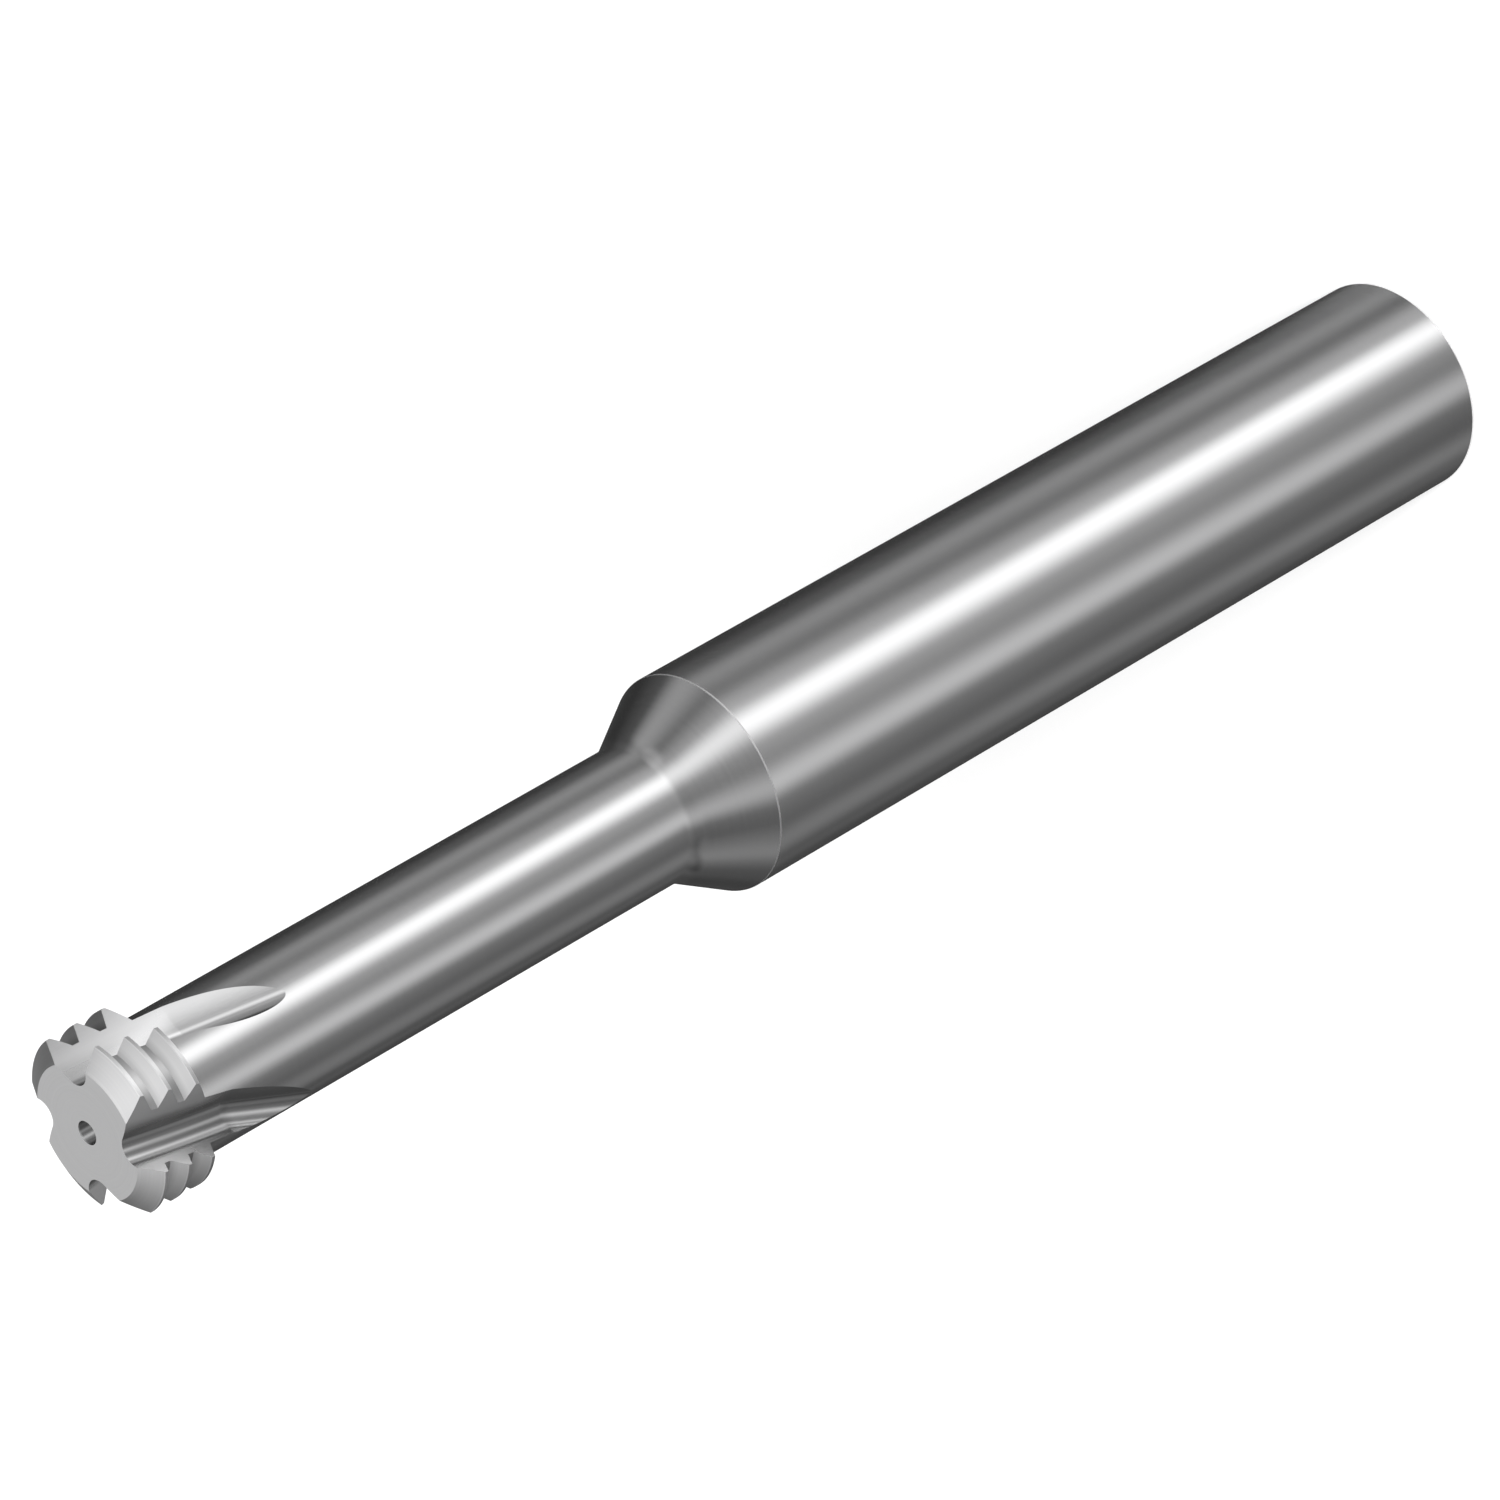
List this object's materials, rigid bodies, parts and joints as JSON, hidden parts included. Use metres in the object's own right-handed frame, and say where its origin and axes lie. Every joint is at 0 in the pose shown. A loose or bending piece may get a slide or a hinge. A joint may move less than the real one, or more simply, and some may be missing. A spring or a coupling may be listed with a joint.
{
  "type": "thread mill",
  "caption": "Solid carbide thread mill: plain round shank, cone, slim neck and a fluted head with rows of thread teeth.",
  "frame": {"origin": "centre of the shank's end face", "axes": "+Z along the tool's axis, from the shank's end to the tip; the tool stands on its shank end"},
  "size_m": [0.008, 0.008, 0.063],
  "materials": {
    "carbide": "fine ground bare carbide"
  },
  "bodies": {
    "root": {"thread_mill": "carbide"}
  },
  "joints": []
}
